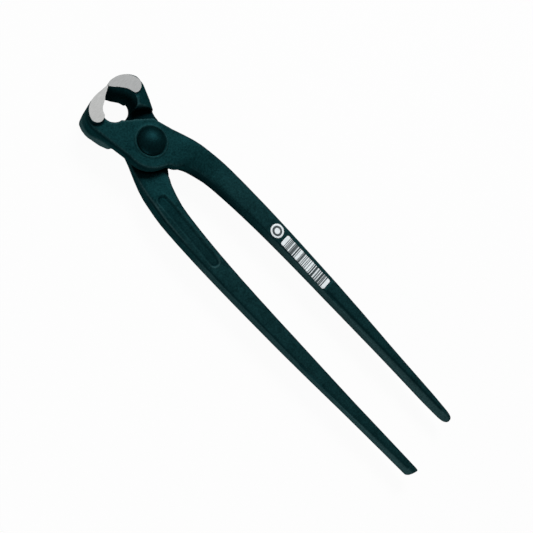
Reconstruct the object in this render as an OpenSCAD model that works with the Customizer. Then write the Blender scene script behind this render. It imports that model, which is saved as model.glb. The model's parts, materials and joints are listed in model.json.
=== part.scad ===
// End-cutting nippers for twisting and cropping tying wire.
// Two drop-forged arms cross at a half-lap joint and turn on one domed rivet.
// The rear arm is the front arm turned over, with its jaw set a little further out and higher,
// its own grinding of the cutting edge, and a handle end cropped on the slant.

/* [Head] */
// Distance from the rivet's axis to the cutting edges
edge_y = 36.8; // [35:0.1:42]
// Length of the cutting edges, along the rivet's axis
jaw_w = 20; // [18:0.5:26]
// Width across the shoulders of two equal jaws
head_w = 38.2; // [36:0.2:42]
// How much further out than that the outer curve of the rear jaw is forged
rear_out = 1.3; // [0:0.1:1.8]
// Height of the rear jaw's nose above the cutting edges
rear_rise = 0.9; // [0.2:0.1:1.5]
// Distance from the laps' meeting plane to the jaw's face on the side away from its own lap
jaw_back_t = 9.4; // [8.7:0.1:9.8]
// Distance from the rivet's axis to the line through both shoulders
shoulder_y = 25; // [24:0.2:26.4]
// Distance of each wire gap's centre from the middle of the tool
claw_x = 4.2; // [3.4:0.1:5]
// Radius of the wire gap inside each jaw
gap_r = 6.5; // [5.6:0.1:7.4]
// How square the outer curve of a jaw is: 2 is an ellipse, more is boxier
nose_power = 2.3; // [2:0.1:3]
// Sideways offset of the line on which the cutting edges meet
jaw_offset = 2.8; // [0:0.1:3.2]
// Height of the flat land along each cutting edge
edge_land = 0.7; // [0.3:0.1:1.2]
// Gap left between the closed cutting edges
edge_gap = 0.1; // [0.05:0.05:0.3]
// Distance from the rivet's axis at which the ground side of a jaw ends in a half round
ground_y = 28.5; // [27.5:0.1:29.5]
// Margin that the grinding leaves along the outer edge of a jaw
ground_inset = 1.3; // [0.6:0.1:2]
// Slope of the facet that falls away below the ground side of the rear jaw, towards the viewer
rear_facet = 35; // [25:1:50]
// Slope of the shallower facet on the front jaw, at its back
front_facet = 14; // [5:1:40]
// Turn of both facets towards the outside of the tool
facet_turn = 50; // [35:1:60]

/* [Lap joint] */
// Radius of the round lap of each arm
lap_r = 15; // [14:0.1:15.6]
// Distance from the rivet's axis to the straight side of the lap, beside its own handle
lap_flat = 12.5; // [11.8:0.1:13.8]
// Angle of that straight side, above the lap's cross line
lap_flat_a = 20; // [14:1:26]
// Distance from the rivet's axis to the straight top of the lap, in line with its own jaw's neck
lap_top = 12.8; // [12.2:0.1:13.8]
// Angle of that straight top, above the lap's cross line
lap_top_a = 54; // [48:1:58]
// Thickness of each arm at the lap
lap_t = 8; // [6.5:0.1:8.6]
// Running gap between the flat faces of the two laps
lap_gap = 0.1; // [0.05:0.05:0.4]
// Running gap around the rim of each lap, beside the other handle
lap_clear = 0.8; // [0.4:0.1:1.4]
// Width of the recess around the rim of each lap, below the other jaw
jaw_clear = 5; // [1:0.1:5.4]
// Angle from the tool's right, at which a jaw regains its full thickness behind the lap
jaw_shoulder_a = 145; // [126:1:146]
// Angle that the tool opens to
open_a = 36; // [20:1:38]
// Angle left over between neck and handle when the tool is open
open_clear_a = 2; // [1:0.5:4]

/* [Rivet] */
// Diameter of the rivet's shank
rivet_d = 10; // [7:0.1:11]
// Radial running clearance of the shank
rivet_fit = 0.04; // [0.02:0.01:0.1]
// Diameter of the domed head
rivet_head_d = 15.6; // [13:0.1:18]
// Height of the domed head
rivet_head_h = 3.2; // [2:0.1:4]
// Diameter of the head formed at the back
rivet_back_d = 14; // [12.5:0.1:16]
// Height of the head formed at the back
rivet_back_h = 1.4; // [0.8:0.1:1.6]
// Gap between the formed head and the rear arm
rivet_end_gap = 0.1; // [0.05:0.05:0.3]

/* [Handles] */
// Distance from the rivet's axis to the ends of the handles
handle_len = 241.3; // [200:0.1:260]
// Distance from the rivet's axis to the neck, where a handle leaves the head
neck_y = 40; // [36:0.5:46]
// Distance of the neck's centre from the middle of the tool
neck_x = 18.7; // [17:0.1:21]
// Width of a handle at the neck
neck_w = 14.4; // [12.5:0.1:16]
// Distance from the rivet's axis to the widest bow of the handles
bow_y = 106; // [90:1:120]
// Distance of a handle's centre from the middle of the tool at the bow
bow_x = 21.3; // [19:0.1:26]
// Width of a handle at the bow
bow_w = 10.9; // [9.5:0.1:13]
// Distance of a handle's end from the middle of the tool
end_x = 20.4; // [16:0.1:26]
// Width of a handle just before its rounded end
end_w = 6.9; // [5.6:0.1:9]
// Thickness of a handle from the neck to the end of its flat face
handle_t = 10; // [8.4:0.1:11]
// Thickness of a handle just before its rounded end
end_t = 7; // [5:0.1:8.4]
// Distance from the rivet's axis to the end of the flat face, below which a handle is oval
flat_y = 131; // [129:1:150]
// Length of a handle's rounded end
end_round = 7; // [4:0.5:12]
// Length of that round end which the rear handle has lost to a crop, on its inner side
end_crop = 4; // [1:0.5:4]
// Slant of that crop, which shortens the handle towards its outer side
crop_a = 25; // [0:1:30]
// Distance from the rivet's axis over which a handle grows from its lap to its full thickness
root_len = 34; // [28:0.5:40]

/* [Labels] */
// Width of the bar label
label_w = 7; // [4:0.1:7.4]
// Length of the bar label
label_len = 36.8; // [20:0.1:37.6]
// Distance from the rivet's axis to the upper edge of the bar label
label_y = 90.2; // [90:0.1:91]
// Diameter of the round label
mark_d = 8.4; // [5:0.1:8.6]
// Distance from the rivet's axis to the centre of the round label
mark_y = 84; // [83.6:0.1:85]
// Thickness of the label films
film_t = 0.2; // [0.1:0.05:0.3]
// Distance of the bar label from the handle's centre, towards the middle of the tool
label_inset = 1.2; // [0:0.1:1.4]
// Distance of the round label from the handle's centre, towards the middle of the tool
mark_inset = 0.6; // [0:0.1:0.7]
// Depth of the flat land that carries the labels
land_d = 0.35; // [0.3:0.05:0.5]
// Margin of that land beyond the labels
land_margin = 1.2; // [0.5:0.1:2]

/* [Hidden] */
$fn = 96;

// The finish, as it looks in daylight
lacquer = "#1d2b2c";
film_white = "#e6e8e6";

// The origin lies on the table under the middle of the tool, which rests on its jaws
pivot = [0, (handle_len - edge_y - rear_rise) / 2, jaw_w / 2];

// Steps along each curve of the outlines, and along and around a handle
curve_steps = 14;
dome_steps = 10;
handle_steps = 44;
end_steps = 6;
ring_steps = 24;

// Half-width of a jaw's outer curve
claw_a = head_w / 2 - claw_x;

// Corners of a jaw's neck, which lie inside the lap's rim so that neck and lap join
neck_bite = 0.6;
neck_foot_y = -2;
neck_foot = [neck_bite - lap_r, neck_foot_y];
neck_top = (lap_top - neck_bite) * [cos(lap_top_a), sin(lap_top_a)];
// Height of a neck's waist above the rivet's axis, and how far a jaw that is forged further out
// is drawn in there, as a share of that
waist_y = 9;
waist_share = 0.55;
// Angle below the cross line of the lap down to which a jaw leaves room for the other handle
room_a = 14;
// Length that reaches past every edge of the head
far = 2 * head_w;

// Where a handle grows out of the lap: share of the neck's distance from the rivet, share of
// its place beside the middle, and how much wider than the neck it is
root_shape = [[-0.05, 0.11, 8.2], [0.25, 0.46, 5.6], [0.5, 0.72, 3]];
root_rows = [for (r = root_shape) [r[0] * neck_y, r[1] * neck_x, r[2] + neck_w]];
handle_rows = concat(root_rows, [
    [neck_y, neck_x, neck_w],
    [bow_y, bow_x, bow_w],
    [handle_len, end_x, end_w]
]);
// How far the handle's root stays below the lap's face, and where it starts to thin
root_drop = 0.1;
root_thin_y = 13;
// Web between the lap's rim and the handle's inner edge: its angle on the rim, how far beyond
// the rim it meets the handle, and how far it reaches into the handle there
web_a = 264;
web_run = 5.8;
web_bite = 4;
// Least share of the thickness that a handle's root keeps below the laps' meeting plane
root_share = 0.02;
// Angle up to which the end of a handle rounds over, short of a point
tip_a = 80;
// Squareness of a handle's section on its flat stretch and below it, and the change between
flat_power = 6;
oval_power = 3.2;
power_run = 60;

// Smooth step from 0 to 1 as u runs from 0 to 1
function ease(u) = let (v = min(1, max(0, u))) v * v * (3 - 2 * v);

// Slope of column k at row i of the handle's rows, from its neighbours
function row_slope(i, k) =
    let (a = handle_rows[max(0, i - 1)], b = handle_rows[min(len(handle_rows) - 1, i + 1)])
    (b[k] - a[k]) / (b[0] - a[0]);

// Index of the handle row that starts the stretch holding distance s
function row_at(s, i = 0) =
    i >= len(handle_rows) - 2 || s < handle_rows[i + 1][0] ? i : row_at(s, i + 1);

// Column k of the handle's rows at distance s, as a smooth curve through all rows
function along(s, k) =
    let (
        i = row_at(s),
        a = handle_rows[i],
        b = handle_rows[i + 1],
        run = b[0] - a[0],
        u = (s - a[0]) / run,
        bend_a = row_slope(i, k) * run * u * (1 - u) * (1 - u),
        bend_b = row_slope(i + 1, k) * run * u * u * (1 - u)
    )
    a[k] + (b[k] - a[k]) * ease(u) + bend_a - bend_b;

// Half thickness of a handle at distance s, away from the head
function half_t(s) =
    let (u = max(0, (s - flat_y) / (handle_len - flat_y)))
    (handle_t - (handle_t - end_t) * u) / 2;

// Height of a handle's face on the lap's side, which rises to the lap near the head
function face_z(s) =
    let (u = (s - root_thin_y) / (neck_y - root_thin_y))
    half_t(s) + (lap_t - root_drop - handle_t / 2) * (1 - ease(u));

// Depth of a handle's face on the other side, which starts from the laps' meeting plane
function back_z(s) = half_t(s) * max(root_share, ease(s / root_len));

// Signed power, for the rounded outlines
function round_power(v, p) = sign(v) * pow(abs(v), 2 / p);

// Ring of points around a handle at distance s, drawn in by the share `size` at its end
function handle_ring(s, size) =
    let (
        x = along(s, 1),
        w = along(s, 2) / 2 * size,
        top = face_z(s) * size,
        low = back_z(s) * size,
        p = flat_power + (oval_power - flat_power) * ease((s - flat_y) / power_run)
    )
    [for (i = [0:ring_steps - 1])
        let (a = 360 * i / ring_steps, v = round_power(sin(a), p))
        [x + w * round_power(cos(a), p), -s, v > 0 ? v * top : v * low]];

// Handle from the lap to its rounded end: rings joined by triangles
module handle(length) {
    first = root_rows[0][0];
    last = length - end_round;
    body = [for (i = [0:handle_steps]) handle_ring(first + (last - first) * i / handle_steps, 1)];
    // the last ring stays open enough to close with a small flat
    tip = [for (i = [1:end_steps])
        let (a = tip_a * i / end_steps)
        handle_ring(last + end_round * sin(a) / sin(tip_a), sqrt(cos(a)))];
    rings = concat(body, tip);
    count = len(rings);
    n = ring_steps;
    sides = [for (r = [0:count - 2]) for (i = [0:n - 1])
        let (a = r * n + i, b = r * n + (i + 1) % n)
        each [[a, a + n, b], [b, a + n, b + n]]];
    lid = [[for (i = [0:n - 1]) i], [for (i = [0:n - 1]) count * n - 1 - i]];
    polyhedron([for (r = rings) each r], concat(sides, lid));
}

// Waist of a jaw's neck, on the line from a usual shoulder to the neck's foot where `out` is nothing
function waist(out) =
    let (u = (shoulder_y - waist_y) / (shoulder_y - neck_foot_y))
    [neck_foot[0] * u - head_w / 2 * (1 - u) + waist_share * out, waist_y];

// Outline of a jaw and its neck. The bevel behind the edge runs tangent into the wire gap.
// `out` is how far out the outer curve lies, `rise` its nose's height above the edge
module jaw_outline(edge_x, out, rise, inset) {
    claw = [-claw_x, shoulder_y];
    nose = [for (i = [0:curve_steps])
        let (a = 90 + 90 * i / curve_steps)
        claw + [(claw_a - inset) * round_power(cos(a), nose_power) - out,
                (edge_y + rise - shoulder_y) * round_power(sin(a), nose_power)]];
    edge = [edge_x, edge_y - edge_land];
    to_edge = edge - claw;
    bevel_a = atan2(to_edge[1], to_edge[0]) + acos(gap_r / norm(to_edge));
    gap = [for (i = [0:curve_steps])
        let (a = 270 + (bevel_a - 270) * i / curve_steps)
        claw + gap_r * [cos(a), sin(a)]];
    polygon(concat([[edge_x, edge_y]], nose, [waist(out), neck_foot, [0, 0], neck_top], gap, [edge]));
}

// Reach of a jaw's curves from the gap's centre at the end of the ground side, inside and outside
function ground_in() = sqrt(gap_r * gap_r - (ground_y - shoulder_y) * (ground_y - shoulder_y));
function ground_out(out, rise) =
    let (u = (ground_y - shoulder_y) / (edge_y + rise - shoulder_y))
    out + (claw_a - ground_inset) * pow(1 - pow(u, nose_power), 1 / nose_power);

// Middle and width of the half round that ends the ground side of a jaw
function ground_mid(out, rise) = (ground_out(out, rise) + ground_in()) / 2;
function ground_end(out, rise) = ground_out(out, rise) - ground_in();

// Ground side of a jaw: a crescent that ends in a half round above the shoulder
module ground_outline(edge_x, out, rise) {
    intersection() {
        jaw_outline(edge_x, out, rise, ground_inset);
        union() {
            translate([-far / 2, ground_y]) square([far, edge_y]);
            translate([-claw_x - ground_mid(out, rise), ground_y]) circle(d = ground_end(out, rise));
        }
    }
}

// Outline of a lap: round, with a straight side beside its own handle and a straight top
module lap_outline() {
    difference() {
        circle(r = lap_r);
        rotate(lap_flat_a) translate([lap_flat, -lap_r]) square(2 * lap_r);
        rotate(lap_top_a) translate([lap_top, -lap_r]) square(2 * lap_r);
    }
}

// Room for the other arm's lap, and for its neck and handle as they swing open
module lap_room() {
    neck_out = head_w / 2 + rear_out;
    translate([0, 0, -jaw_w]) linear_extrude(height = jaw_w + lap_gap / 2) {
        circle(r = lap_r + lap_clear);
        intersection() {
            circle(r = lap_r + jaw_clear);
            translate([-far, 0]) square(2 * far);
        }
        polygon([[0, 0], far * [cos(jaw_shoulder_a), sin(jaw_shoulder_a)], [-far, -far * tan(room_a)]]);
        rotate(-open_a - open_clear_a)
            polygon([[0, 0], [0, shoulder_y], [neck_out, shoulder_y], [-neck_foot[0], neck_foot[1]]]);
    }
}

// Back of a jaw, on the side away from its lap, with the facet below its ground side
module jaw_back(edge_x, out, rise, slope) {
    facet = [-claw_x - ground_mid(out, rise), ground_y - ground_end(out, rise) / 2, -jaw_back_t];
    difference() {
        translate([0, 0, -jaw_back_t]) linear_extrude(height = jaw_back_t)
            jaw_outline(edge_x, out, rise, 0);
        translate(facet) rotate([-slope, 0, -facet_turn]) translate([-far, -far, -far])
            cube([2 * far, 2 * far, far]);
    }
}

// Web that fills the corner between a lap and the inner edge of its own handle
module root_web() {
    y = lap_r + web_run;
    inner = along(y, 1) - along(y, 2) / 2;
    rim = lap_r * [cos(web_a), sin(web_a)];
    polygon([[0, 0], rim, [inner, -y], [inner + web_bite, -y]]);
}

// One forged arm: jaw to the left, lap on the near side, handle to the right
module arm(edge_x, out, rise, slope, length) {
    difference() {
        union() {
            translate([0, 0, lap_gap / 2]) linear_extrude(height = lap_t - lap_gap / 2) {
                lap_outline();
                root_web();
            }
            linear_extrude(height = lap_t) jaw_outline(edge_x, out, rise, 0);
            jaw_back(edge_x, out, rise, slope);
            linear_extrude(height = jaw_w, center = true) ground_outline(edge_x, out, rise);
            handle(length);
        }
        lap_room();
        cylinder(r = rivet_d / 2 + rivet_fit, h = 2 * jaw_w, center = true);
    }
}

// Height of the land under the labels
land_z = handle_t / 2 - land_d;

module front_arm() {
    land_top = mark_y - mark_d / 2 - land_margin;
    land_end = label_y + label_len + land_margin;
    color(lacquer) translate(pivot) difference() {
        arm(jaw_offset - edge_gap / 2, 0, 0, front_facet, handle_len);
        translate([bow_x - neck_w, -land_end, land_z]) cube([2 * neck_w, land_end - land_top, handle_t]);
    }
}

module rear_arm() {
    inner = end_x - end_w / 2;
    color(lacquer) translate(pivot) rotate([0, 180, 0]) difference() {
        arm(-jaw_offset - edge_gap / 2, rear_out, rear_rise, rear_facet, handle_len + end_crop);
        translate([inner, -handle_len]) rotate(crop_a) translate([-far / 2, -far, -far / 2]) cube(far);
    }
}

// Profile of a domed head of diameter d and height h, from the rim to the crown
function dome(d, h) =
    let (r = (d * d / 4 + h * h) / (2 * h), a = asin(d / 2 / r))
    [for (i = [0:dome_steps])
        let (b = a * (1 - i / dome_steps))
        [r * sin(b), h - r + r * cos(b)]];

// Rivet: domed head in front, shank through both laps, low formed head at the back
module rivet() {
    seat_z = -lap_t - rivet_end_gap;
    shank = [[rivet_d / 2, seat_z], [rivet_d / 2, lap_t]];
    front = [for (p = dome(rivet_head_d, rivet_head_h)) [p[0], lap_t + p[1]]];
    back = [for (p = dome(rivet_back_d, rivet_back_h)) [p[0], seat_z - p[1]]];
    color(lacquer) translate(pivot) rotate_extrude()
        polygon(concat(shank, front, [for (i = [dome_steps:-1:0]) back[i]]));
}

// Bar label: a thin printed film on the land
module bar_label() {
    y = label_y + label_len / 2;
    x = along(y, 1) - label_inset;
    color(film_white) translate(pivot + [x - label_w / 2, -y - label_len / 2, land_z])
        cube([label_w, label_len, film_t]);
}

// Round label: a thin printed film above the bar label
module round_label() {
    x = along(mark_y, 1) - mark_inset;
    color(film_white) translate(pivot + [x, -mark_y, land_z]) cylinder(d = mark_d, h = film_t);
}

front_arm();
rear_arm();
rivet();
bar_label();
round_label();
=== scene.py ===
import json
import math

import bpy
import numpy as np
from mathutils import Matrix, Vector


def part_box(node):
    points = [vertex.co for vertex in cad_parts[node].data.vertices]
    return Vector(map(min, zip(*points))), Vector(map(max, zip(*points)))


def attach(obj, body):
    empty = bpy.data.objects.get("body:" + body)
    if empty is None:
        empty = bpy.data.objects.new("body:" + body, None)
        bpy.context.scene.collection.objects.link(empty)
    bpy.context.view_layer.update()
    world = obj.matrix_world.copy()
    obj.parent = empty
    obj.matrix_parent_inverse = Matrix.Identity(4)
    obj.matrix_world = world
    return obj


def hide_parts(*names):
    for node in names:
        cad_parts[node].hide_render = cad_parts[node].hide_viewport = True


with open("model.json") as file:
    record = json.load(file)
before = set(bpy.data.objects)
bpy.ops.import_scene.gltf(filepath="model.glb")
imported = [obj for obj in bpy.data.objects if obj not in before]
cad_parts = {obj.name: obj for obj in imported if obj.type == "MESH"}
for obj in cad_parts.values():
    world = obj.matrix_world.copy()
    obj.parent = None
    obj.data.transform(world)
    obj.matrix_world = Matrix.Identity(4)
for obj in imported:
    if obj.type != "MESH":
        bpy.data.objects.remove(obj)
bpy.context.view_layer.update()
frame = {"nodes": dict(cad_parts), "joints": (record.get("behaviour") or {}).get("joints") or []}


# Front arm: one drop forging from the left jaw through the lap to the right handle. Carbon steel,
# its edges rounded by the dies, dipped in dark lacquer, then ground bright on the sides of the jaw.
# Places are in metres from the pivot: x to the right, y towards the jaws, z out of the face.
pivot = Vector(frame["joints"][0]["pos_m"])
jaw_half = pivot.z
touching = 1e-6
on_plane = 1e-5


def only(piece):
    bpy.ops.object.select_all(action="DESELECT")
    piece.select_set(True)
    bpy.context.view_layer.objects.active = piece


def apply(piece, kind, **settings):
    only(piece)
    modifier = piece.modifiers.new(kind.title(), kind)
    for key, value in settings.items():
        setattr(modifier, key, value)
    bpy.ops.object.modifier_apply(modifier=modifier.name)


def merge_close(piece):
    only(piece)
    bpy.ops.object.mode_set(mode="EDIT")
    bpy.ops.mesh.select_all(action="SELECT")
    bpy.ops.mesh.remove_doubles(threshold=touching)
    bpy.ops.object.mode_set(mode="OBJECT")


def points_of(piece):
    flat = np.zeros(len(piece.data.vertices) * 3, np.float32)
    piece.data.vertices.foreach_get("co", flat)
    return flat.reshape(-1, 3).astype(float) - np.array(pivot)


def normals_of(piece):
    flat = np.zeros(len(piece.data.vertices) * 3, np.float32)
    piece.data.vertex_normals.foreach_get("vector", flat)
    return flat.reshape(-1, 3).astype(float)


def move_points(piece, points):
    flat = (points + np.array(pivot)).astype(np.float32).ravel()
    piece.data.vertices.foreach_set("co", flat)
    piece.data.update()


def ramp(value, low, high):
    """Nothing up to low, all from high on, and an easy rise between them."""
    share = np.clip((value - low) / (high - low), 0, 1)
    return share * share * (3 - 2 * share)


def swell(distance, half):
    """All where the distance is nothing, and almost nothing at twice the half width."""
    return np.exp(-((distance / half) ** 2))


def most(*shares):
    return np.maximum.reduce(shares)


def smooth_out(piece, name, weights, rounds, steps=10):
    """Smooths by a vertex group in even steps of weight, and not where the weight is nothing."""
    group = piece.vertex_groups.new(name=name)
    for level in range(1, steps + 1):
        chosen = np.flatnonzero(np.ceil(weights * steps) == level)
        group.add(chosen.tolist(), level / steps, "REPLACE")
    apply(piece, "SMOOTH", factor=0.5, iterations=rounds, vertex_group=name)
    piece.vertex_groups.clear()


flow_reach, flow_half = 0.0165, 0.0060
flow_across, flow_down = (-0.006, 0.0), (-0.001, 0.003)
flow_level, flow_height = (0.7, 0.97), (0.003, 0.006)
flow_least, flow_rounds = 0.03, 260
soft_spots = [((0.0066, -0.0200, 0.0070), 0.0042), ((-0.0165, 0.0125, -0.0068), 0.0028)]


def flow_root(piece, side):
    """The lap's flat face runs on into the handle without a step."""
    points, normals = points_of(piece), normals_of(piece)
    weights = swell(np.hypot(points[:, 0], points[:, 1]) - flow_reach, flow_half)
    weights *= ramp(side * points[:, 0], *flow_across) * ramp(-points[:, 1], *flow_down)
    weights *= ramp(side * normals[:, 2], *flow_level) * ramp(side * points[:, 2], *flow_height)
    for spot, spread in soft_spots:
        turned = np.array([side * spot[0], spot[1], side * spot[2]])
        weights = most(weights, swell(np.linalg.norm(points - turned, axis=1), spread))
    smooth_out(piece, "root", np.where(weights > flow_least, weights, 0), flow_rounds)


skin_grain = 0.00045
die_rounds = 9
grind_stock = 0.0012
edge_line = (0.0028, 0.0368)
edge_keep = (0.0012, 0.0065)


def forged(node, name, side):
    """The arm as it leaves the dies: an even skin, rounded everywhere but at the cutting edge."""
    piece = bpy.data.objects.new(name, frame["nodes"][node].data.copy())
    piece.data.name = name
    bpy.context.scene.collection.objects.link(piece)
    merge_close(piece)
    points = points_of(piece)
    proud = np.abs(points[:, 2]) > jaw_half - on_plane
    points[proud, 2] += np.sign(points[proud, 2]) * grind_stock
    move_points(piece, points)
    apply(piece, "REMESH", mode="VOXEL", voxel_size=skin_grain)
    flow_root(piece, side)
    points = points_of(piece)
    reach = np.hypot(points[:, 0] - edge_line[0], points[:, 1] - edge_line[1])
    smooth_out(piece, "rounded", ramp(reach, *edge_keep), die_rounds)
    return piece


front_gap = (-0.0042, 0.0250)
gap_draft = 0.00050
gap_start, gap_end = (0.0050, 0.0060), (0.0074, 0.0090)
gap_foot = (0.0150, 0.0205)
gap_facing = (0.2, 0.8)


def lean_gap(piece, side, centre):
    """The wall of the wire gap leans with the dies' draft, closer in on the lap's side."""
    points, normals = points_of(piece), normals_of(piece)
    away = points[:, :2] - np.array(centre)
    reach = np.linalg.norm(away, axis=1)
    inward = -(normals[:, :2] * away).sum(axis=1) / reach.clip(touching)
    on_wall = ramp(reach, *gap_start) * (1 - ramp(reach, *gap_end)) * ramp(points[:, 1], *gap_foot)
    shift = gap_draft * side * points[:, 2] / jaw_half * ramp(inward, *gap_facing) * on_wall
    points[:, :2] -= away / reach.clip(touching)[:, None] * shift[:, None]
    move_points(piece, points)


shoulder_spot, shoulder_spread = (-0.0163, 0.0328, -0.0092), 0.0026
shoulder_push = (-0.00046, 0.00050)
front_fork_spot, front_fork_spread = (0.0029, -0.0181), 0.0048
front_fork_push = (-0.00101, -0.00108)


def fill_out(piece, spot, push, spread):
    """Leaves the forging fuller around one spot, as at the jaw's shoulder and in the fork."""
    points = points_of(piece)
    away = np.linalg.norm(points[:, :len(spot)] - np.array(spot), axis=1)
    points[:, :2] += swell(away, spread)[:, None] * np.array(push)
    move_points(piece, points)


draw_range = (0.219, 0.2413)
front_longer, front_thinner = 0.0007, 0.14


def draw_out(piece, longer, thinner):
    """The last of a handle drawn out a little longer and thinner than the dies leave it."""
    points = points_of(piece)
    share = ramp(-points[:, 1], *draw_range)
    middle = points[points[:, 1] < -draw_range[0], 0].mean()
    points[:, 1] -= longer * share
    points[:, 0] -= thinner * share * (points[:, 0] - middle)
    move_points(piece, points)


head_radius = 0.0078
ring_height, ring_off, ring_half = 0.00030, 0.0010, 0.0006
seat_depth, seat_off, seat_half = 0.00030, 0.0001, 0.0005
ring_level, ring_above = 0.8, 0.007


def raise_ring(piece, side, radius):
    """The low ring that the rivet's head has pressed up around itself, behind a narrow gap."""
    points, normals = points_of(piece), normals_of(piece)
    reach = np.hypot(points[:, 0], points[:, 1])
    height = ring_height * swell(reach - radius - ring_off, ring_half)
    height -= seat_depth * swell(reach - radius - seat_off, seat_half)
    facing = (side * normals[:, 2] > ring_level) & (side * points[:, 2] > ring_above)
    points[:, 2] += side * np.where(facing, height, 0)
    move_points(piece, points)


front_facet_top = (0.0178, -0.1297)
front_facet_end = (0.0206, -0.2320)
crown_top, crown_end = 0.0049, 0.0035
oval_start, oval_run = 0.131, 0.110
facet_slope = math.radians(40)
facet_fade = (0.0, 0.12)
# the facet is painted lighter: a painted highlight for the light from the left
facet_highlight = 0.88
facet_edge, facet_low = (0.0, 0.0008), (-0.002, 0.0)
facet_highlight_fade = (0.0, 0.2)


def cut_facet(piece, start, finish):
    """Cuts the long facet down the left of a lower handle, and gives how strong its painted
    highlight is.
    """
    points = points_of(piece)
    share = (points[:, 1] - start[1]) / (finish[1] - start[1])
    line = start[0] + (finish[0] - start[0]) * share
    crown = crown_top - (crown_top - crown_end) * (-points[:, 1] - oval_start) / oval_run
    outward = np.array([-math.sin(facet_slope), 0, math.cos(facet_slope)])
    over = (points[:, 0] - line) * outward[0] + (points[:, 2] - crown) * outward[2]
    over = np.clip(over, 0, None) * ramp(share, *facet_fade)
    move_points(piece, points - over[:, None] * outward)
    left_of = ramp(line - points[:, 0], *facet_edge) * ramp(share, *facet_highlight_fade)
    left_of *= ramp(points[:, 2], *facet_low)
    return facet_highlight * left_of


def off_line(points, start, finish):
    """How far each point lies from a straight line drawn on the face of a handle."""
    run = np.array(finish) - np.array(start)
    flat = points[:, :2] - np.array(start)
    share = np.clip(flat @ run / (run @ run), 0, 1)
    return np.linalg.norm(flat - share[:, None] * run, axis=1)


crease_depth, crease_half = 0.00030, 0.00070
crease_level = 0.3
front_crease_dark = 0.7


def press_crease(piece, start, finish):
    """Presses the narrow crease beside the facet, and gives how deep it is at each point."""
    points, normals = points_of(piece), normals_of(piece)
    depth = crease_depth * swell(off_line(points, start, finish), crease_half)
    depth = np.where(normals[:, 2] > crease_level, depth, 0)
    points[:, 2] -= depth
    move_points(piece, points)
    return depth / crease_depth


flash_height, flash_half = 0.00022, 0.00055
flash_start, flash_end = (0.012, 0.022), (0.225, 0.236)
flash_upright = (0.35, 0.7)
seam_lift, seam_fall = 0.0037, (0.008, 0.038)


def flash_line(piece, side):
    """The low seam that the two dies leave along the middle of a handle's sides."""
    points, normals = points_of(piece), normals_of(piece)
    down = -points[:, 1]
    seam = side * seam_lift * (1 - ramp(down, *seam_fall))
    upright = 1 - ramp(np.abs(normals[:, 2]), *flash_upright)
    height = flash_height * swell(points[:, 2] - seam, flash_half)
    height *= upright * ramp(down, *flash_start) * (1 - ramp(down, *flash_end))
    move_points(piece, points + normals * height[:, None])


wall_facing, wall_across, wall_up = (0.1, 0.7), (0.006, 0.009), (-0.012, -0.004)


def outer_wall(piece):
    """How far a point lies on the long wall down the outside of the jaw and the lap."""
    points, normals = points_of(piece), normals_of(piece)
    facing = ramp(-normals[:, 0], *wall_facing)
    return facing * ramp(-points[:, 0], *wall_across) * ramp(points[:, 1], *wall_up)


# painted highlight on the back rim and the shoulder of the jaw's outer wall
rim_light_strength, rim_height, rim_start = 1.9, (0.0014, 0.0054), (0.010, 0.014)
heel_rise, heel_fade = 0.0040, (0.016, 0.026)
shoulder_light_strength, shoulder_start = 0.4, (0.028, 0.033)


def painted_rim_highlight(piece):
    """Painted highlight: the back of the jaw's wall, where the tool is laid down, and its shoulder.
    """
    points = points_of(piece)
    heel = heel_rise * (1 - ramp(points[:, 1], *heel_fade))
    low = rim_light_strength * ramp(heel - points[:, 2], *rim_height) * ramp(points[:, 1], *rim_start)
    shoulder = shoulder_light_strength * ramp(points[:, 1], *shoulder_start)
    return most(low, shoulder) * outer_wall(piece)


# painted highlight down the left-hand side of each handle, where light from the left falls
front_lit_from, front_side_light = (0.076, 0.094), 1.05
lit_facing = (0.80, 0.95)


def painted_left_highlight(piece, lit_from, light_strength):
    """Painted highlight: the left-hand side of a handle made lighter, from a given point to its
    end.
    """
    points, normals = points_of(piece), normals_of(piece)
    return light_strength * ramp(-normals[:, 0], *lit_facing) * ramp(-points[:, 1], *lit_from)


wall_shade_height, wall_shade_half = 0.0062, 0.0017
front_side_shade_dark = 0.75


def painted_wall_shade(piece):
    """Painted shade: a dark band just under the edge of the wall."""
    return swell(points_of(piece)[:, 2] - wall_shade_height, wall_shade_half) * outer_wall(piece)


right_shade_dark, right_shade_facing, right_shade_start = 0.7, (0.35, 0.75), (0.020, 0.045)


def painted_right_shade(piece):
    """Painted shade: the right-hand side of a handle made darker, where the light falls off."""
    points, normals = points_of(piece), normals_of(piece)
    return right_shade_dark * ramp(normals[:, 0], *right_shade_facing) * ramp(-points[:, 1], *right_shade_start)


front_turn = (0.030, 0.050)
turn_shade_dark = 0.75
turn_from, turn_to, turn_level = (0.35, 0.55), (0.86, 0.96), (0.0, 0.3)
turn_fade = 0.012


def painted_turn_shade(piece, begin, facet_start):
    """Painted shade: a dark line where a handle's face turns over to its left-hand side."""
    points, normals = points_of(piece), normals_of(piece)
    leaning, down = -normals[:, 0], -points[:, 1]
    turn = ramp(leaning, *turn_from) * (1 - ramp(leaning, *turn_to))
    turn *= ramp(normals[:, 2], *turn_level)
    turn = turn_shade_dark * turn * ramp(down, *begin)
    return turn * (1 - ramp(down, facet_start, facet_start + turn_fade))


inner_dark, inner_facing = 0.7, (0.5, 0.8)
inner_start, inner_end = (0.020, 0.030), (0.045, 0.075)


def painted_inner_shade(piece):
    """Painted shade: the side of the front handle towards the other one, darker by the root."""
    points, normals = points_of(piece), normals_of(piece)
    upper = ramp(-points[:, 1], *inner_start) * (1 - ramp(-points[:, 1], *inner_end))
    return inner_dark * ramp(-normals[:, 0], *inner_facing) * upper


lap_skin, lap_fade, lap_foot = 0.0022, (0.0, 0.0012), (-0.014, -0.010)
below_rivet, below_lighter = (0.002, 0.008), 0.6
spread_dark, spread_reach = 0.25, (0.017, 0.036)
spread_skin, spread_fade = 0.007, (0.0, 0.001)
lap_facing = (0.3, 0.7)


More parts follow.
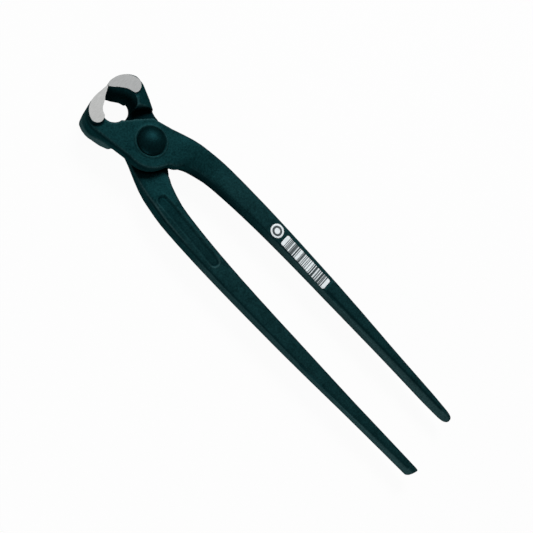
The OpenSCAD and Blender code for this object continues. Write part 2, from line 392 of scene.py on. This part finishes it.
def painted_lap_shade(piece, side):
    """Painted shade on the flat of the lap that faces the other arm, lighter below the rivet."""
    points, normals = points_of(piece), normals_of(piece)
    height, below = np.abs(points[:, 2]), ramp(-points[:, 1], *below_rivet)
    near = ramp(lap_skin - height, *lap_fade) * ramp(points[:, 1], *lap_foot)
    near *= 1 - below_lighter * below
    spread = spread_dark * (1 - ramp(np.hypot(points[:, 0], points[:, 1]), *spread_reach))
    spread *= ramp(spread_skin - height, *spread_fade) * below
    return most(near, spread) * ramp(-side * normals[:, 2], *lap_facing)


rub_range, rub_most = (0.00003, 0.00016), 0.45
hollow_shade_range = (0.00002, 0.00010)
grip_wear, grip_range = 0.11, (0.025, 0.055)
skin_reach, skin_ease = 6, 4


def mark_wear_and_painted_light(piece, lit_more, shade_more, side_shade):
    """Marks rubbed edges, not under painted side shade, with painted highlights; hollows get
    painted shade.
    """
    pairs = np.zeros(len(piece.data.edges) * 2, np.int32)
    piece.data.edges.foreach_get("vertices", pairs)
    pairs = np.concatenate([pairs.reshape(-1, 2), pairs.reshape(-1, 2)[:, ::-1]])
    count = np.bincount(pairs[:, 0], minlength=len(piece.data.vertices)).clip(1)

    def around(values):
        return np.bincount(pairs[:, 0], values[pairs[:, 1]], minlength=len(count)) / count

    points, normals = points_of(piece), normals_of(piece)
    middle = points
    for _ in range(skin_reach):
        middle = np.stack([around(middle[:, axis]) for axis in range(3)], axis=1)
    proud = ((points - middle) * normals).sum(axis=1)
    for _ in range(skin_ease):
        proud = (proud + around(proud)) / 2
    edges = ramp(proud, *rub_range) * rub_most * (1 - side_shade)
    handled = grip_wear * ramp(-points[:, 1], *grip_range)
    # the first attribute holds real wear and painted highlights, the second painted shade only
    for name, values in (("worn_and_lit", most(edges, handled, lit_more)),
                         ("painted_shade", most(ramp(-proud, *hollow_shade_range), shade_more))):
        kept = piece.data.attributes.new(name, "FLOAT", "POINT")
        kept.data.foreach_set("value", values.astype(np.float32))


cut_clean = 1e-7
flat_on = 0.99
ground_corner = math.radians(38)


def grind_sides(piece):
    """The jaw's two sides ground flat, each to a bright crescent."""
    only(piece)
    for side in (1, -1):
        bpy.ops.object.mode_set(mode="EDIT")
        bpy.ops.mesh.select_all(action="SELECT")
        plane = pivot + Vector((0, 0, side * jaw_half))
        bpy.ops.mesh.bisect(plane_co=plane, plane_no=(0, 0, side), use_fill=True,
                            clear_outer=True, threshold=cut_clean)
        bpy.ops.object.mode_set(mode="OBJECT")
    for face in piece.data.polygons:
        off_plane = abs(abs(face.center.z - pivot.z) - jaw_half)
        if off_plane < on_plane and abs(face.normal.z) > flat_on:
            face.material_index = 1
    bpy.ops.object.shade_smooth_by_angle(angle=ground_corner)


def add(tree, kind, inputs=None, **settings):
    made = tree.nodes.new(kind)
    for key, value in settings.items():
        setattr(made, key, value)
    for key, value in (inputs or {}).items():
        if isinstance(value, bpy.types.NodeSocket):
            tree.links.new(value, made.inputs[key])
        else:
            made.inputs[key].default_value = value
    return made


def maths(tree, operation, *values):
    return add(tree, "ShaderNodeMath", dict(enumerate(values)), operation=operation).outputs[0]


def blend(tree, share, under, over):
    mixed = add(tree, "ShaderNodeMix", {"Factor": share, "A": under, "B": over}, data_type="RGBA")
    return mixed.outputs["Result"]


def noise(tree, where, scale, detail):
    inputs = {"Vector": where, "Scale": scale, "Detail": detail}
    return add(tree, "ShaderNodeTexNoise", inputs).outputs["Fac"]


noise_low, noise_high = 0.3, 0.7


def shaded(tree, factor, dark, light):
    """A colour between two, over the part of its range that a noise really fills."""
    made = add(tree, "ShaderNodeValToRGB", {"Fac": factor})
    first, last = made.color_ramp.elements
    first.position, first.color = noise_low, (*dark, 1)
    last.position, last.color = noise_high, (*light, 1)
    return made.outputs["Color"]


def new_material(name, **constants):
    material = bpy.data.materials.new(name)
    material.use_nodes = True
    shader = material.node_tree.nodes["Principled BSDF"]
    for key, value in constants.items():
        shader.inputs[key.replace("_", " ")].default_value = value
    return material, material.node_tree, shader


def roughen(tree, shader, height, strength, distance):
    bump = add(tree, "ShaderNodeBump",
               {"Strength": strength, "Distance": distance, "Height": height})
    tree.links.new(bump.outputs["Normal"], shader.inputs["Normal"])


value_in, value_out = ("INPUT", "NodeSocketFloat"), ("OUTPUT", "NodeSocketFloat")
colour_in, colour_out = ("INPUT", "NodeSocketColor"), ("OUTPUT", "NodeSocketColor")


def new_group(name, **sockets):
    tree = bpy.data.node_groups.new(name, "ShaderNodeTree")
    for socket, (way, kind) in sockets.items():
        tree.interface.new_socket(socket, in_out=way, socket_type=kind)
    return tree


# the skin that scale and the dies leave on a forging, shared by the arms and the rivet
cloud_scale, pit_scale, grit_scale = 130.0, 900.0, 2600.0
pits_in_mottle, grit_in_relief = 0.65, 0.35
skin = new_group("forged_skin", Mottle=value_out, Height=value_out)
place = add(skin, "ShaderNodeTexCoord").outputs["Object"]
clouds = noise(skin, place, cloud_scale, 3.0)
pits = noise(skin, place, pit_scale, 2.0)
grit = noise(skin, place, grit_scale, 1.0)
mottle = add(skin, "ShaderNodeMix", {"Factor": pits_in_mottle, "A": clouds, "B": pits})
relief = add(skin, "ShaderNodeMix", {"Factor": grit_in_relief, "A": pits, "B": grit})
add(skin, "NodeGroupOutput",
    {"Mottle": mottle.outputs["Result"], "Height": relief.outputs["Result"]})

# lacquer is lighter where it is rubbed and where highlights are painted, and darker where shade is
# painted
worn_and_lit_lacquer = (0.036, 0.076, 0.080, 1)
painted_shade_lacquer, painted_shade_share = (0.0006, 0.0060, 0.0080, 1), 0.85
coat_wear_and_light = new_group("lacquer_wear_and_painted_light", Coat=colour_in, Mottle=value_in, Colour=colour_out)
coat = add(coat_wear_and_light, "NodeGroupInput").outputs
worn_and_lit = add(coat_wear_and_light, "ShaderNodeAttribute", attribute_name="worn_and_lit").outputs["Fac"]
worn_and_lit = maths(coat_wear_and_light, "MULTIPLY", worn_and_lit, coat["Mottle"])
painted_shade = add(coat_wear_and_light, "ShaderNodeAttribute", attribute_name="painted_shade").outputs["Fac"]
painted_shade = maths(coat_wear_and_light, "MULTIPLY", painted_shade, painted_shade_share)
colour = blend(coat_wear_and_light, worn_and_lit, coat["Coat"], worn_and_lit_lacquer)
colour = blend(coat_wear_and_light, painted_shade, colour, painted_shade_lacquer)
add(coat_wear_and_light, "NodeGroupOutput", {"Colour": colour})

lacquer_sheen = (0.3, 0.5, 0.5, 1)
skin_strength, skin_depth = 0.5, 0.00026


def lacquered(name, metal, gloss, dark, light):
    """Dark lacquer over the mottled, pitted skin of forged steel."""
    material, tree, shader = new_material(
        name, Metallic=metal, Specular_IOR_Level=0.0, Specular_Tint=lacquer_sheen)
    worked = add(tree, "ShaderNodeGroup", node_tree=skin).outputs
    fresh = shaded(tree, worked["Mottle"], dark, light)
    worn = add(tree, "ShaderNodeGroup", {"Coat": fresh, "Mottle": worked["Mottle"]},
               node_tree=coat_wear_and_light)
    tree.links.new(worn.outputs["Colour"], shader.inputs["Base Color"])
    rough = add(tree, "ShaderNodeMapRange", {
        "Value": worked["Mottle"], "From Min": noise_low, "From Max": noise_high,
        "To Min": gloss[0], "To Max": gloss[1]})
    tree.links.new(rough.outputs["Result"], shader.inputs["Roughness"])
    roughen(tree, shader, worked["Height"], skin_strength, skin_depth)
    return material


# the fine lines that a grinding wheel leaves, shared by the ground faces of both arms
wheel_turn, wheel_fineness = (0, 0, 0.5), (300, 5200, 300)
wheel_gloss = (0.68, 0.8)
wheel_strength, wheel_depth = 0.15, 0.00003
wheel = new_group("wheel_lines", Lines=value_out)
place = add(wheel, "ShaderNodeTexCoord").outputs["Object"]
along = add(wheel, "ShaderNodeMapping",
            {"Vector": place, "Rotation": wheel_turn, "Scale": wheel_fineness})
add(wheel, "NodeGroupOutput", {"Lines": noise(wheel, along.outputs["Vector"], 1.0, 3.0)})


def ground_steel(name, dark, light):
    """Bare steel, with the lines of the wheel in its colour, its gloss and its surface."""
    material, tree, shader = new_material(name, Metallic=1.0)
    lines = add(tree, "ShaderNodeGroup", node_tree=wheel).outputs["Lines"]
    tree.links.new(shaded(tree, lines, dark, light), shader.inputs["Base Color"])
    rough = add(tree, "ShaderNodeMapRange",
                {"Value": lines, "To Min": wheel_gloss[0], "To Max": wheel_gloss[1]})
    tree.links.new(rough.outputs["Result"], shader.inputs["Roughness"])
    roughen(tree, shader, lines, wheel_strength, wheel_depth)
    return material


lacquer = lacquered("dark_lacquer", metal=0.25, gloss=(0.42, 0.5),
                    dark=(0.0016, 0.0122, 0.0139), light=(0.0050, 0.0322, 0.0357))
front_ground = ground_steel("ground_steel", dark=(0.34, 0.344, 0.34), light=(0.50, 0.505, 0.50))


front_arm = forged("front_arm", "front_arm_forging", 1)
lean_gap(front_arm, 1, front_gap)
fill_out(front_arm, shoulder_spot, shoulder_push, shoulder_spread)
fill_out(front_arm, front_fork_spot, front_fork_push, front_fork_spread)
draw_out(front_arm, front_longer, front_thinner)
raise_ring(front_arm, 1, head_radius)
front_facet_highlight = cut_facet(front_arm, front_facet_top, front_facet_end)
front_crease = press_crease(front_arm, front_facet_top, front_facet_end)
flash_line(front_arm, 1)
front_arm.data.materials.clear()
front_arm.data.materials.append(lacquer)
front_arm.data.materials.append(front_ground)
# painted highlights on the facet, back rim and left side; painted shade in the crease, on the wall,
# the handle's sides, the lap and the inner side
front_worn_and_lit = most(front_facet_highlight * (1 - front_crease), painted_rim_highlight(front_arm),
                  painted_left_highlight(front_arm, front_lit_from, front_side_light))
front_side_shade = most(painted_wall_shade(front_arm), painted_right_shade(front_arm),
                   painted_turn_shade(front_arm, front_turn, -front_facet_top[1]))
front_shade = most(front_crease_dark * front_crease, front_side_shade_dark * front_side_shade,
                     painted_lap_shade(front_arm, 1), painted_inner_shade(front_arm))
mark_wear_and_painted_light(front_arm, front_worn_and_lit, front_shade, front_side_shade)
grind_sides(front_arm)
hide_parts("front_arm")
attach(front_arm, "front_half")


# Rear arm: the same kind of forging turned over, from the right jaw to the left handle. A long
# shallow panel is sunk into the face of its handle by the dies, and the handle's end is cropped.
rear_gap = (0.0042, 0.0250)
rear_fork_spot, rear_fork_spread = (-0.0039, -0.0202), 0.0036
rear_fork_push = (0.00055, -0.00060)
rear_longer, rear_thinner = 0.0020, 0.0
back_radius = 0.007
rear_facet_top = (-0.0258, -0.1450)
rear_facet_end = (-0.0212, -0.2360)
rear_crease_dark = 0.35
rear_lit_from, rear_side_light = (0.055, 0.070), 0.68
rear_turn = (0.012, 0.028)

panel_top = (-0.0174, -0.0270)
panel_end = (-0.0206, -0.0700)
panel_half, panel_wall, panel_depth = 0.0026, 0.0005, 0.00045
panel_level, panel_above = 0.5, -0.016
panel_shade_dark = 0.3
lip_height, lip_off, lip_half = 0.00008, 0.0009, 0.0005
lip_highlight, lip_highlight_off, lip_low = 0.8, 0.0005, (0.066, 0.071)


def sink_panel(piece):
    """Presses the panel in, and gives where its lower lip gets a painted highlight and its floor
    painted shade.
    """
    points, normals = points_of(piece), normals_of(piece)
    off = off_line(points, panel_top, panel_end)
    depth = panel_depth * (1 - ramp(off, panel_half - panel_wall, panel_half + panel_wall))
    lip = lip_height * swell(off - panel_half - lip_off, lip_half)
    facing = (normals[:, 2] > panel_level) & (points[:, 1] < panel_above)
    points[:, 2] -= np.where(facing, depth - lip, 0)
    move_points(piece, points)
    lower = swell(off - panel_half - lip_highlight_off, lip_half) * ramp(-points[:, 1], *lip_low)
    return np.where(facing, lower, 0), np.where(facing, depth / panel_depth, 0)


gleam_strength = 0.85
gleam_from, gleam_to, gleam_level = (0.15, 0.26), (0.40, 0.54), (0.3, 0.6)
gleam_start, gleam_end, gleam_across = (0.002, 0.008), (0.040, 0.066), (0.012, 0.015)
gleam_clear = (panel_half + 2 * panel_wall, panel_half + 4 * panel_wall)


def edge_gleam(piece):
    """Painted highlight: a light line beside the dark one, down the left edge of the face from the
    lap.
    """
    points, normals = points_of(piece), normals_of(piece)
    leaning, down = -normals[:, 0], -points[:, 1]
    beside = ramp(leaning, *gleam_from) * (1 - ramp(leaning, *gleam_to))
    beside *= ramp(normals[:, 2], *gleam_level)
    along = ramp(down, *gleam_start) * (1 - ramp(down, *gleam_end))
    clear = ramp(off_line(points, panel_top, panel_end), *gleam_clear)
    return beside * along * clear * ramp(-points[:, 0], *gleam_across)


# a darker copy of the ground steel for the rear jaw: painted shade, as its ground faces turn from
# the light
rear_ground_painted_shade = ground_steel(
    "shaded_ground_steel", dark=(0.275, 0.28, 0.28), light=(0.42, 0.427, 0.427))

rear_arm = forged("rear_arm", "rear_arm_forging", -1)
lean_gap(rear_arm, -1, rear_gap)
fill_out(rear_arm, rear_fork_spot, rear_fork_push, rear_fork_spread)
draw_out(rear_arm, rear_longer, rear_thinner)
raise_ring(rear_arm, -1, back_radius)
flash_line(rear_arm, -1)
rear_facet_highlight = cut_facet(rear_arm, rear_facet_top, rear_facet_end)
rear_crease = press_crease(rear_arm, rear_facet_top, rear_facet_end)
panel_lip_highlight, panel_floor_shade = sink_panel(rear_arm)
rear_arm.data.materials.clear()
rear_arm.data.materials.append(lacquer)
rear_arm.data.materials.append(rear_ground_painted_shade)
rear_gleam = edge_gleam(rear_arm)
# painted highlights on the facet, the panel's lip, the left edge and left side; painted shade in
# the crease, the panel, the lap and the handle's sides
rear_worn_and_lit = most(rear_facet_highlight * (1 - rear_crease), lip_highlight * panel_lip_highlight, gleam_strength * rear_gleam,
                 painted_left_highlight(rear_arm, rear_lit_from, rear_side_light))
rear_side_shade = most(painted_right_shade(rear_arm), painted_turn_shade(rear_arm, rear_turn, -rear_facet_top[1]))
rear_shade = most(rear_crease_dark * rear_crease, panel_shade_dark * panel_floor_shade,
                    painted_lap_shade(rear_arm, -1))
rear_shade = most(rear_shade * (1 - rear_gleam), rear_side_shade)
mark_wear_and_painted_light(rear_arm, rear_worn_and_lit, rear_shade, rear_side_shade)
grind_sides(rear_arm)
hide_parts("rear_arm")
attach(rear_arm, "rear_half")


# Rivet: one turned steel pin, its domed head in front and a lower head formed over at the back when
# the two arms were joined. Lacquered along with the arms.
rivet_low, rivet_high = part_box("rivet")
rivet_radius = 0.005
head_seat, back_seat = 0.008, -0.0081
head_rise = rivet_high.z - pivot.z - head_seat
back_rise = back_seat - (rivet_low.z - pivot.z)
rivet_sides, rivet_steps = 96, 16
rim_round, rim_corner = 0.0004, math.radians(35)
rivet_corner = math.radians(50)


def dome_profile(radius, height):
    """Half outline of a forged head, fuller than a ball's cap, from its rim to its crown."""
    ball = (radius * radius + height * height) / (2 * height)
    turns = [math.pi / 2 * (1 - step / rivet_steps) for step in range(rivet_steps + 1)]
    reach = [radius * math.sin(a) for a in turns]
    cap = [height - ball + math.sqrt(ball * ball - r * r) for r in reach]
    return [(r, (low + height * math.cos(a)) / 2) for r, low, a in zip(reach, cap, turns)]


head_outline = [(r, head_seat + z) for r, z in dome_profile(head_radius, head_rise)]
back_outline = [(r, back_seat - z) for r, z in dome_profile(back_radius, back_rise)]
shank = [(rivet_radius, back_seat), (rivet_radius, head_seat)]
outline = back_outline[::-1] + shank + head_outline
mesh = bpy.data.meshes.new("rivet_pin")
mesh.from_pydata(
    [(r + pivot.x, pivot.y, z + pivot.z) for r, z in outline],
    [(i, i + 1) for i in range(len(outline) - 1)], [])
rivet = bpy.data.objects.new("rivet_pin", mesh)
bpy.context.scene.collection.objects.link(rivet)
only(rivet)
bpy.ops.object.mode_set(mode="EDIT")
bpy.ops.mesh.select_all(action="SELECT")
bpy.ops.mesh.spin(steps=rivet_sides, angle=2 * math.pi, center=pivot, axis=(0, 0, 1))
bpy.ops.mesh.select_all(action="SELECT")
bpy.ops.mesh.remove_doubles(threshold=touching)
bpy.ops.mesh.normals_make_consistent(inside=False)
bpy.ops.object.mode_set(mode="OBJECT")
apply(rivet, "BEVEL", width=rim_round, segments=3, limit_method="ANGLE", angle_limit=rim_corner)
merge_close(rivet)
bpy.ops.object.shade_smooth_by_angle(angle=rivet_corner)
rivet.data.materials.append(lacquered(
    "rivet_lacquer", metal=0.6, gloss=(0.42, 0.48),
    dark=(0.0014, 0.0090, 0.0106), light=(0.0028, 0.0170, 0.0195)))
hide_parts("rivet")
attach(rivet, "front_half")


# Bar label: a thin film of pale plastic, printed with plain dark bars. Its corners are cut round,
# and it is stuck on the flat of the right handle.
label_low, label_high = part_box("bar_label")
label_size = label_high - label_low
label_middle = (label_low + label_high) / 2
label_corner = 0.0011
label_columns, label_rows = 28, 140
film_lift, film_thickness = 0.00003, 0.00012
film_above = 0.001


def stick_on(piece, carrier):
    """Lays a flat film on the face under it and gives it its thickness."""
    apply(piece, "SHRINKWRAP", target=carrier, wrap_method="PROJECT", use_negative_direction=True,
          use_positive_direction=True, use_project_z=True, offset=film_lift)
    apply(piece, "SOLIDIFY", thickness=film_thickness, offset=1)
    for face in piece.data.polygons:
        face.use_smooth = True


bpy.ops.object.select_all(action="DESELECT")
bpy.ops.mesh.primitive_grid_add(x_subdivisions=label_columns, y_subdivisions=label_rows, size=1)
bar_label = bpy.context.active_object
bar_label.name = "bar_label_film"
bar_label.data.transform(Matrix.Diagonal((label_size.x, label_size.y, 1, 1)))
bar_label.data.transform(Matrix.Translation(
    (label_middle.x, label_middle.y, label_high.z + film_above)))
points = points_of(bar_label) + np.array(pivot)
off_middle = points[:, :2] - np.array(label_middle)[:2]
straight = np.array(label_size / 2)[:2] - label_corner
beyond = np.clip(np.abs(off_middle) - straight, 0, None)
past = np.linalg.norm(beyond, axis=1)
in_corner = (beyond.min(axis=1) > 0) & (past > label_corner)
pull = np.where(in_corner, label_corner / past.clip(touching), 1.0)
points[:, :2] -= np.sign(off_middle) * beyond * (1 - pull)[:, None]
move_points(bar_label, points - np.array(pivot))
stick_on(bar_label, front_arm)

paper_cloud = 700.0
paper_dark, paper_light = (0.67, 0.73, 0.755), (0.79, 0.85, 0.875)
ink_colour = (0.03, 0.045, 0.05, 1)
bar_width = 0.00046
bar_light, bar_dark = 0.32, 0.6
bar_margin = 0.0024


# pale film with a faint cloud in it, dark where it is printed, shared by the two labels
paper = new_group("printed_paper", Print=value_in, Colour=colour_out)
ink = add(paper, "NodeGroupInput").outputs["Print"]
place = add(paper, "ShaderNodeTexCoord").outputs["Object"]
pale = shaded(paper, noise(paper, place, paper_cloud, 3.0), paper_dark, paper_light)
add(paper, "NodeGroupOutput", {"Colour": blend(paper, ink, pale, ink_colour)})


def new_film(name):
    material, tree, shader = new_material(name, Roughness=0.45, Specular_IOR_Level=0.4)
    return material, tree, shader, add(tree, "ShaderNodeTexCoord").outputs["Object"]


def print_film(tree, shader, ink):
    printed = add(tree, "ShaderNodeGroup", {"Print": ink}, node_tree=paper)
    tree.links.new(printed.outputs["Colour"], shader.inputs["Base Color"])


bar_film, tree, shader, place = new_film("printed_film")
along = add(tree, "ShaderNodeSeparateXYZ", {"Vector": place}).outputs["Y"]
bar = maths(tree, "FLOOR", maths(tree, "DIVIDE", along, bar_width))
chance = add(tree, "ShaderNodeTexWhiteNoise", {"W": bar}, noise_dimensions="1D").outputs["Value"]
tone = add(tree, "ShaderNodeMapRange",
           {"Value": chance, "From Min": bar_light, "From Max": bar_dark}).outputs["Result"]
off_centre = maths(tree, "ABSOLUTE", maths(tree, "SUBTRACT", along, label_middle.y))
printed = maths(tree, "LESS_THAN", off_centre, label_size.y / 2 - bar_margin)
print_film(tree, shader, maths(tree, "MULTIPLY", tone, printed))
bar_label.data.materials.append(bar_film)
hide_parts("bar_label")
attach(bar_label, "front_half")


# Round label: a second, smaller disc of the same film, printed with a plain ring. It is stuck on
# the same handle, just above the bar label.
disc_low, disc_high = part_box("round_label")
disc_middle = (disc_low + disc_high) / 2
disc_radius = (disc_high.x - disc_low.x) / 2
disc_sides, disc_cuts = 64, 5
ring_radius, ring_width = 0.58 * disc_radius, 0.16 * disc_radius

bpy.ops.object.select_all(action="DESELECT")
bpy.ops.mesh.primitive_circle_add(
    vertices=disc_sides, radius=disc_radius, fill_type="TRIFAN",
    location=(disc_middle.x, disc_middle.y, disc_high.z + film_above))
round_label = bpy.context.active_object
round_label.name = "round_label_film"
bpy.ops.object.transform_apply(location=True, rotation=True, scale=True)
bpy.ops.object.mode_set(mode="EDIT")
bpy.ops.mesh.select_all(action="SELECT")
bpy.ops.mesh.subdivide(number_cuts=disc_cuts)
bpy.ops.object.mode_set(mode="OBJECT")
stick_on(round_label, front_arm)

ring_film, tree, shader, place = new_film("ring_film")
centred = add(tree, "ShaderNodeVectorMath", {0: place, 1: disc_middle}, operation="SUBTRACT")
level = add(tree, "ShaderNodeVectorMath", {0: centred.outputs["Vector"], 1: (1, 1, 0)},
            operation="MULTIPLY")
reach = add(tree, "ShaderNodeVectorMath", {0: level.outputs["Vector"]}, operation="LENGTH")
ring = maths(tree, "COMPARE", reach.outputs["Value"], ring_radius, ring_width)
print_film(tree, shader, ring)
round_label.data.materials.append(ring_film)
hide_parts("round_label")
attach(round_label, "front_half")


# Table, light and camera: a plain pale table, one soft panel high on the right beyond the jaws, a
# weak strip low on the left, and the camera above the tool and to its left.
table_size, table_drop = 6, 0.0004
table_grey = (0.6, 0.6, 0.6, 1)
table_seen, table_mirrored = 0.96, 0.25
room_seen, room_mirrored, room_fill = 0.88, 0.1, 0.12
white = (1, 1, 1, 1)

bpy.ops.object.select_all(action="DESELECT")
bpy.ops.mesh.primitive_plane_add(size=table_size, location=(0, 0, -table_drop))
table = bpy.context.active_object
table.name = "table"
table_white, tree, shader = new_material(
    "table_white", Base_Color=table_grey, Roughness=0.8, Specular_IOR_Level=0.1)


def seen_directly(tree, direct, mirrored):
    """A share for what the camera sees itself or through glass, and one for what metal mirrors."""
    rays = add(tree, "ShaderNodeLightPath").outputs
    seen = maths(tree, "MAXIMUM", rays["Is Camera Ray"], rays["Is Transmission Ray"])
    seen = maths(tree, "MULTIPLY", seen, direct)
    glossy = maths(tree, "MULTIPLY", rays["Is Glossy Ray"], mirrored)
    return maths(tree, "MAXIMUM", seen, glossy)


glow = add(tree, "ShaderNodeEmission", {"Color": white, "Strength": 1.0})
bright = add(tree, "ShaderNodeMixShader", {
    0: seen_directly(tree, table_seen, table_mirrored), 1: shader.outputs[0], 2: glow.outputs[0]})
tree.links.new(bright.outputs[0], tree.nodes["Material Output"].inputs["Surface"])
table.data.materials.append(table_white)

world = bpy.data.worlds.new("studio")
bpy.context.scene.world = world
world.use_nodes = True
tree = world.node_tree
strength = maths(tree, "ADD", seen_directly(tree, room_seen, room_mirrored), room_fill)
tree.nodes["Background"].inputs["Color"].default_value = white
tree.links.new(strength, tree.nodes["Background"].inputs["Strength"])


def panel_light(name, place, aim, size, power):
    lamp = bpy.data.lights.new(name, "AREA")
    lamp.shape = "RECTANGLE"
    lamp.size, lamp.size_y = size
    lamp.energy = power
    hung = bpy.data.objects.new(name, lamp)
    bpy.context.scene.collection.objects.link(hung)
    hung.location = place
    hung.rotation_euler = (Vector(aim) - Vector(place)).to_track_quat("-Z", "Y").to_euler()


panel_light("key_panel", (0.90, 0.52, 1.12), aim=(0, 0, 0), size=(0.8, 0.5), power=25.0)
panel_light("low_strip", (-0.64, -0.20, 0.16), aim=(0, -0.05, 0), size=(0.5, 0.2), power=2.7)

camera = bpy.data.objects.new("camera", bpy.data.cameras.new("camera"))
bpy.context.scene.collection.objects.link(camera)
camera_right = Vector((0.612963, -0.674124, 0.412109))
camera_up = Vector((0.676528, 0.717234, 0.166991))
camera_back = Vector((-0.408150, 0.176444, 0.895701))
camera_place = Vector((-0.18290, 0.08777, 0.41668))
camera.matrix_world = Matrix.Translation(camera_place) @ Matrix(
    (camera_right, camera_up, camera_back)).transposed().to_4x4()
camera.data.lens = 54.03
camera.data.sensor_width = 36
bpy.context.scene.camera = camera
bpy.context.scene.view_settings.view_transform = "Standard"
